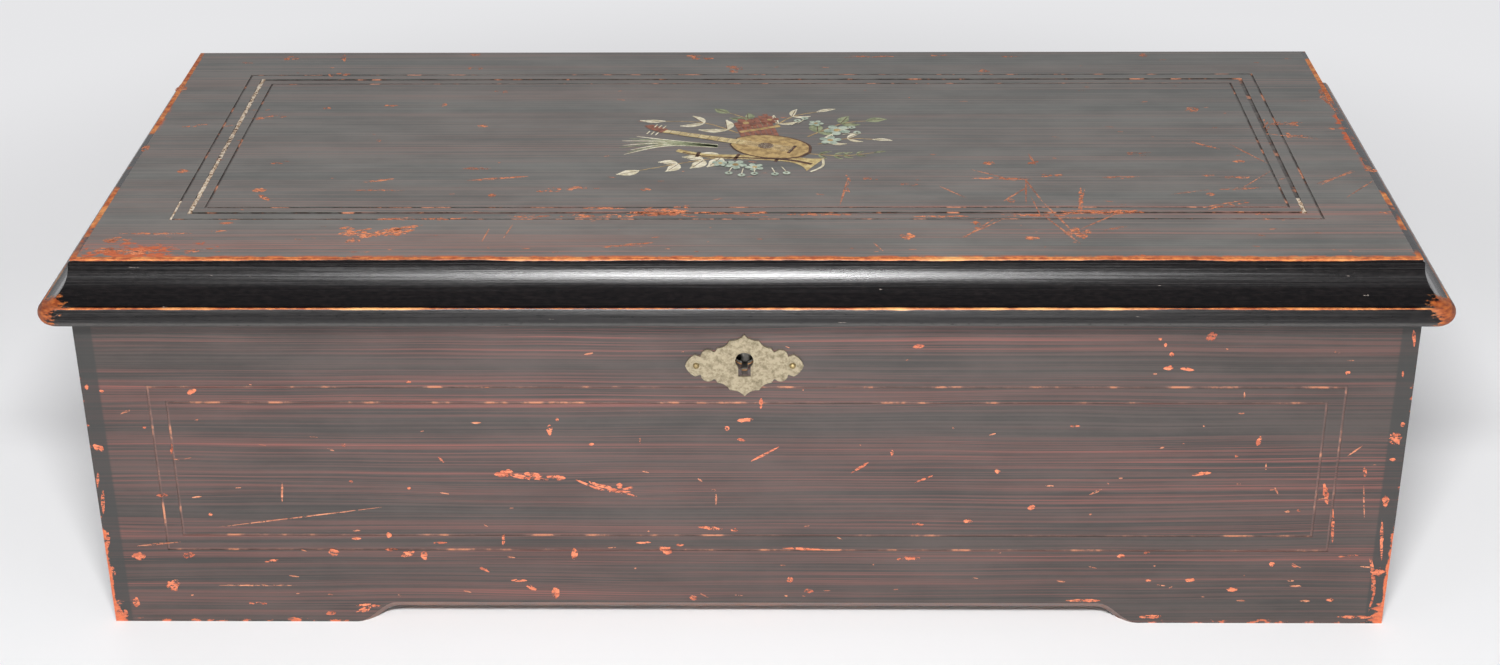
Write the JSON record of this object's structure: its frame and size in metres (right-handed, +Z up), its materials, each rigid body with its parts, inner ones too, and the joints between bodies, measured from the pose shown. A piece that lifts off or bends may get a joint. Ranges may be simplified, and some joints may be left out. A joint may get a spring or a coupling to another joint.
{
  "type": "wind-up music box",
  "caption": "Lidded wooden table music box on cut-out feet, with a moulded lid, a front lock, and a lever-wound pinned-cylinder movement under a hinged glazed inner cover.",
  "frame": {"origin": "on the floor under the middle of the closed box's overall plan", "axes": "+X to the right along the front, +Y to the back, +Z up"},
  "size_m": [0.511, 0.2328, 0.154],
  "materials": {
    "grained_wood": "dark painted rosewood graining, worn",
    "black_wood": "black polish, worn",
    "plain_wood": "plain softwood, unfinished",
    "stained_wood": "stained beech",
    "grip_wood": "turned, ebonised",
    "escutcheon_brass": "pale worn brass",
    "movement_brass": "aged brass",
    "hinge_brass": "tarnished brass",
    "comb_steel": "ground tooth steel",
    "bright_steel": "polished steel",
    "blued_steel": "blued steel",
    "bedplate_iron": "dark painted cast iron",
    "cover_glass": "clear window glass",
    "bone": "turned bone, satin"
  },
  "bodies": {
    "case": {"front_panel": "grained_wood", "back_panel": "grained_wood", "left_end": "grained_wood", "right_end": "grained_wood", "bottom_board": "plain_wood", "left_partition": "stained_wood", "right_partition": "stained_wood", "cover_ledges": "stained_wood", "escutcheon": "escutcheon_brass", "escutcheon_pins": "escutcheon_brass", "lock_case": "hinge_brass", "case_hinge_leaves": "hinge_brass", "hinge_pins": "bright_steel", "case_screws": "hinge_brass", "bedplate": "bedplate_iron", "bedplate_bolts": "bedplate_iron", "barrel_bridge": "movement_brass", "middle_bridge": "movement_brass", "cylinder_bridge": "movement_brass", "movement_screws": "blued_steel", "comb_base": "movement_brass", "comb": "comb_steel", "comb_screws": "blued_steel", "governor_frame": "movement_brass", "governor_cock": "movement_brass"},
    "lid": {"lid_panel": "black_wood", "lid_front_moulding": "black_wood", "lid_side_mouldings": "black_wood", "lid_back_rail": "black_wood", "lid_hinge_leaves": "hinge_brass", "lid_screws": "hinge_brass", "lock_link_plate": "hinge_brass"},
    "cover": {"cover_frame": "stained_wood", "cover_glass": "cover_glass", "cover_knob": "bone"},
    "bolt": {"lock_bolt": "bright_steel"},
    "lever": {"winding_lever": "movement_brass", "lever_handle": "grip_wood"},
    "pawl": {"lever_pawl": "bright_steel"},
    "click": {"ratchet_click": "bright_steel"},
    "winding": {"winding_arbor": "bright_steel", "ratchet_wheel": "bright_steel"},
    "barrel": {"barrel_drum": "movement_brass", "barrel_cover": "movement_brass", "barrel_wheel": "movement_brass", "mainspring": "blued_steel"},
    "train": {"cylinder_arbor": "bright_steel", "cylinder_pinion": "bright_steel", "great_wheel": "movement_brass", "cylinder_return_spring": "bright_steel"},
    "cylinder": {"music_cylinder": "movement_brass", "cylinder_pins": "bright_steel", "cylinder_end_caps": "movement_brass"},
    "snail": {"tune_snail": "bright_steel"},
    "first_wheel": {"governor_first_wheel": "movement_brass"},
    "second_wheel": {"governor_second_wheel": "movement_brass"},
    "regulator": {"endless_screw": "bright_steel", "fan": "movement_brass"},
    "stop_control": {"stop_lever": "bright_steel"},
    "change_control": {"change_lever": "bright_steel"}
  },
  "joints": [
    {"name": "lid_hinge", "type": "hinge", "parent": "case", "child": "lid", "pos_m": [0, 0.11435, 0.1315], "axis": [-1, 0, 0], "range_deg": [0, 95]},
    {"name": "cover_hinge", "type": "hinge", "parent": "case", "child": "cover", "pos_m": [0, 0.09555, 0.1119], "axis": [-1, 0, 0], "range_deg": [0, 83]},
    {"name": "bolt_slide", "type": "slide", "parent": "case", "child": "bolt", "axis": [1, 0, 0], "range_m": [0, 0.005]},
    {"name": "lever_swing", "type": "hinge", "parent": "case", "child": "lever", "pos_m": [0, -0.013, 0.069], "axis": [-1, 0, 0], "range_deg": [0, 120]},
    {"name": "winding_arbor_turn", "type": "hinge", "parent": "case", "child": "winding", "pos_m": [0, -0.013, 0.069], "axis": [-1, 0, 0], "range_deg": [0, 120]},
    {"name": "pawl_lift", "type": "hinge", "parent": "lever", "child": "pawl", "pos_m": [0, -0.03367, 0.07652], "axis": [1, 0, 0], "range_deg": [0, 15]},
    {"name": "click_lift", "type": "hinge", "parent": "case", "child": "click", "pos_m": [0, -0.00267, 0.04958], "axis": [1, 0, 0], "range_deg": [0, 15]},
    {"name": "cylinder_spin", "type": "hinge", "parent": "case", "child": "train", "pos_m": [0, 0.027, 0.069], "axis": [-1, 0, 0], "continuous": true},
    {"name": "barrel_spin", "type": "hinge", "parent": "case", "child": "barrel", "pos_m": [0, -0.013, 0.069], "axis": [-1, 0, 0], "continuous": true},
    {"name": "cylinder_shift", "type": "slide", "parent": "train", "child": "cylinder", "axis": [1, 0, 0], "range_m": [0, 0.00245]},
    {"name": "snail_turn", "type": "hinge", "parent": "train", "child": "snail", "pos_m": [0, 0.0125, 0.069], "axis": [-1, 0, 0], "range_deg": [0, 315.1]},
    {"name": "first_wheel_spin", "type": "hinge", "parent": "case", "child": "first_wheel", "pos_m": [0, 0.05194, 0.0546], "axis": [-1, 0, 0], "continuous": true},
    {"name": "second_wheel_spin", "type": "hinge", "parent": "case", "child": "second_wheel", "pos_m": [0, 0.06094, 0.07019], "axis": [-1, 0, 0], "continuous": true},
    {"name": "regulator_spin", "type": "hinge", "parent": "case", "child": "regulator", "pos_m": [0.1475, 0.07094, 0], "axis": [0, 0, 1], "continuous": true},
    {"name": "stop_lever_swing", "type": "hinge", "parent": "case", "child": "stop_control", "pos_m": [0.148, -0.062, 0], "axis": [0, 0, 1], "range_deg": [0, 8]},
    {"name": "change_lever_swing", "type": "hinge", "parent": "case", "child": "change_control", "pos_m": [0.148, -0.034, 0], "axis": [0, 0, 1], "range_deg": [0, 8]}
  ],
  "couplings": [
    {"joint": "cover_hinge", "follows": "lid_hinge", "ratio": 0.87},
    {"joint": "winding_arbor_turn", "follows": "lever_swing", "ratio": 1},
    {"joint": "barrel_spin", "follows": "cylinder_spin", "ratio": -0.23077},
    {"joint": "first_wheel_spin", "follows": "cylinder_spin", "ratio": -5},
    {"joint": "second_wheel_spin", "follows": "cylinder_spin", "ratio": 20},
    {"joint": "regulator_spin", "follows": "cylinder_spin", "ratio": 400},
    {"joint": "snail_turn", "follows": "cylinder_shift", "rad_per_m": 2244}
  ]
}
